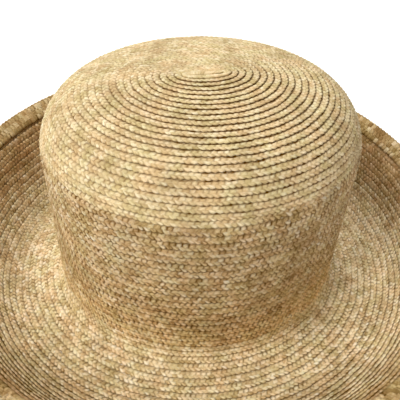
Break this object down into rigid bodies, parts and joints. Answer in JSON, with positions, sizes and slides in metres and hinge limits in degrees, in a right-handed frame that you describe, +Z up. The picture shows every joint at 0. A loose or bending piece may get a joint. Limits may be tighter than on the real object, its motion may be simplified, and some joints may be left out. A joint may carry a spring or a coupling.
{
  "type": "straw boater hat",
  "caption": "Sewn straw hat with a tall round-shouldered crown and a wide brim that turns up, higher behind than in front, to a flared, braid-bound edge.",
  "frame": {"origin": "centre of the hat's footprint, on the surface that the flat ring under the brim rests on", "axes": "+Z up through the tip of the crown, +X along the long way of the head oval, +Y across the head"},
  "size_m": [0.3556, 0.346, 0.1545],
  "materials": {
    "crown_straw": "plaited wheat straw, soft natural sheen",
    "brim_straw": "plaited wheat straw, soft natural sheen",
    "edge_straw": "folded plaited straw braid, soft natural sheen"
  },
  "bodies": {
    "root": {"crown": "crown_straw", "brim": "brim_straw", "edge_braid": "edge_straw"}
  },
  "joints": []
}
